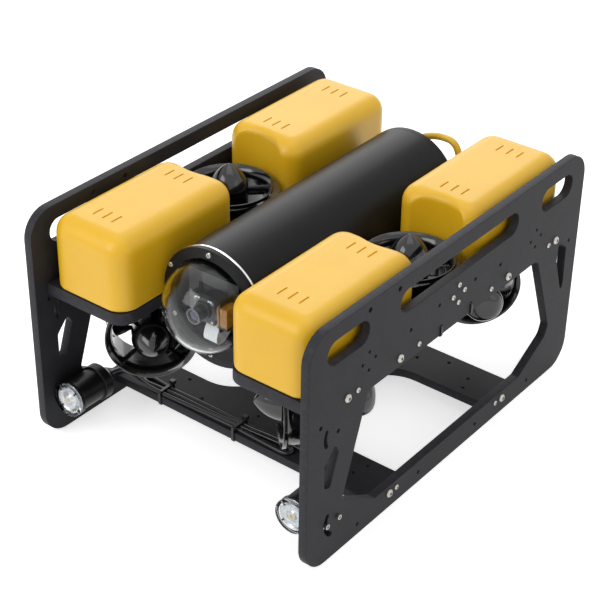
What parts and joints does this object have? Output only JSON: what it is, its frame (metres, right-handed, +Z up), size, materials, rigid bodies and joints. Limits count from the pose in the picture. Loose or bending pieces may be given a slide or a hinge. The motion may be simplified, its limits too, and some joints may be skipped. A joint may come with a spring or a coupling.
{
  "type": "underwater inspection vehicle",
  "caption": "Open-framed underwater inspection vehicle with yellow floats, domed camera tube, ducted thrusters and tilting lights.",
  "frame": {"origin": "on the ground, midway between the side panels and half way along them", "axes": "+Z up, -Y towards the camera dome at the front, +X towards the port side"},
  "size_m": [0.3458, 0.457, 0.256],
  "materials": {
    "anodised_black": "black anodised aluminium, fine matt",
    "black_cord_jacket": "smooth black jacket",
    "black_rubber": "soft black rubber",
    "black_sheet_plastic": "machined sheet plastic, fine matt grain, lighter cut edges",
    "black_small_moulding": "small black mouldings",
    "clear_acrylic": "clear polished acrylic",
    "gloss_black_moulding": "injection moulded, glossy black",
    "motor_metal": "black coated motor parts",
    "stainless_steel": "plain stainless steel",
    "white_ribbon": "thin white flat cable",
    "yellow_cord_jacket": "smooth yellow jacket",
    "yellow_float_shell": "moulded yellow shell, satin"
  },
  "bodies": {
    "vehicle": {"cable_ties": "black_small_moulding", "camera_chassis": "black_small_moulding", "dome": "clear_acrylic", "dome_retaining_ring": "anodised_black", "float_front_port": "yellow_float_shell", "float_front_starboard": "yellow_float_shell", "float_rear_port": "yellow_float_shell", "float_rear_starboard": "yellow_float_shell", "floor_plate": "black_sheet_plastic", "frame_bolts": "stainless_steel", "frame_screws": "stainless_steel", "front_flange": "anodised_black", "front_thruster_port_motor": "motor_metal", "front_thruster_port_nozzle": "gloss_black_moulding", "front_thruster_starboard_motor": "motor_metal", "front_thruster_starboard_nozzle": "gloss_black_moulding", "front_tube_cradle": "black_sheet_plastic", "hinge_post": "black_small_moulding", "light_lead_port": "black_cord_jacket", "light_lead_starboard": "black_cord_jacket", "main_tube": "anodised_black", "nose_cones": "gloss_black_moulding", "rear_end_cap": "anodised_black", "rear_thruster_port_motor": "motor_metal", "rear_thruster_port_nozzle": "gloss_black_moulding", "rear_thruster_starboard_motor": "motor_metal", "rear_thruster_starboard_nozzle": "gloss_black_moulding", "rear_tube_cradle": "black_sheet_plastic", "ribbon_cable": "white_ribbon", "ring_screws": "stainless_steel", "shelf_front_port": "black_sheet_plastic", "shelf_front_starboard": "black_sheet_plastic", "shelf_rear_port": "black_sheet_plastic", "shelf_rear_starboard": "black_sheet_plastic", "side_panel_port": "black_sheet_plastic", "side_panel_starboard": "black_sheet_plastic", "tether": "yellow_cord_jacket", "tether_gland": "anodised_black", "tether_strain_relief": "black_rubber", "tilt_servo": "black_small_moulding", "vertical_thruster_port_motor": "motor_metal", "vertical_thruster_port_nozzle": "gloss_black_moulding", "vertical_thruster_starboard_motor": "motor_metal", "vertical_thruster_starboard_nozzle": "gloss_black_moulding"},
    "camera_head": {"camera_lens": "black_small_moulding", "camera_module": "black_small_moulding"},
    "front_port_screw": {"front_thruster_port_propeller": "gloss_black_moulding"},
    "front_starboard_screw": {"front_thruster_starboard_propeller": "gloss_black_moulding"},
    "light_head_port": {"light_lens_port": "clear_acrylic", "light_port": "anodised_black", "light_screws_port": "stainless_steel"},
    "light_head_starboard": {"light_lens_starboard": "clear_acrylic", "light_screws_starboard": "stainless_steel", "light_starboard": "anodised_black"},
    "rear_port_screw": {"rear_thruster_port_propeller": "gloss_black_moulding"},
    "rear_starboard_screw": {"rear_thruster_starboard_propeller": "gloss_black_moulding"},
    "vertical_port_screw": {"vertical_thruster_port_propeller": "gloss_black_moulding"},
    "vertical_starboard_screw": {"vertical_thruster_starboard_propeller": "gloss_black_moulding"}
  },
  "joints": [
    {"name": "front_port_spin", "type": "hinge", "parent": "vehicle", "child": "front_port_screw", "pos_m": [0.0793, -0.1559, 0.1175], "axis": [-0.7071, -0.7071, 0], "continuous": true},
    {"name": "front_starboard_spin", "type": "hinge", "parent": "vehicle", "child": "front_starboard_screw", "pos_m": [-0.0793, -0.1559, 0.1175], "axis": [0.7071, -0.7071, 0], "continuous": true},
    {"name": "vertical_port_spin", "type": "hinge", "parent": "vehicle", "child": "vertical_port_screw", "pos_m": [0.112, 0, 0.2135], "axis": [0, 0, 1], "continuous": true},
    {"name": "vertical_starboard_spin", "type": "hinge", "parent": "vehicle", "child": "vertical_starboard_screw", "pos_m": [-0.112, 0, 0.2135], "axis": [0, 0, 1], "continuous": true},
    {"name": "rear_port_spin", "type": "hinge", "parent": "vehicle", "child": "rear_port_screw", "pos_m": [0.082, 0.1605, 0.1175], "axis": [-0.7071, 0.7071, 0], "continuous": true},
    {"name": "rear_starboard_spin", "type": "hinge", "parent": "vehicle", "child": "rear_starboard_screw", "pos_m": [-0.082, 0.1605, 0.1175], "axis": [0.7071, 0.7071, 0], "continuous": true},
    {"name": "camera_tilt", "type": "hinge", "parent": "vehicle", "child": "camera_head", "pos_m": [0, -0.158, 0.19], "axis": [1, 0, 0], "range_deg": [-45, 45], "deforming": ["ribbon_cable"]},
    {"name": "light_tilt_port", "type": "hinge", "parent": "vehicle", "child": "light_head_port", "pos_m": [0.1656, -0.1824, 0.0431], "axis": [1, 0, 0], "range_deg": [-20, 45], "deforming": ["light_lead_port"]},
    {"name": "light_tilt_starboard", "type": "hinge", "parent": "vehicle", "child": "light_head_starboard", "pos_m": [-0.1656, -0.1824, 0.0431], "axis": [1, 0, 0], "range_deg": [-20, 45], "deforming": ["light_lead_starboard"]}
  ]
}
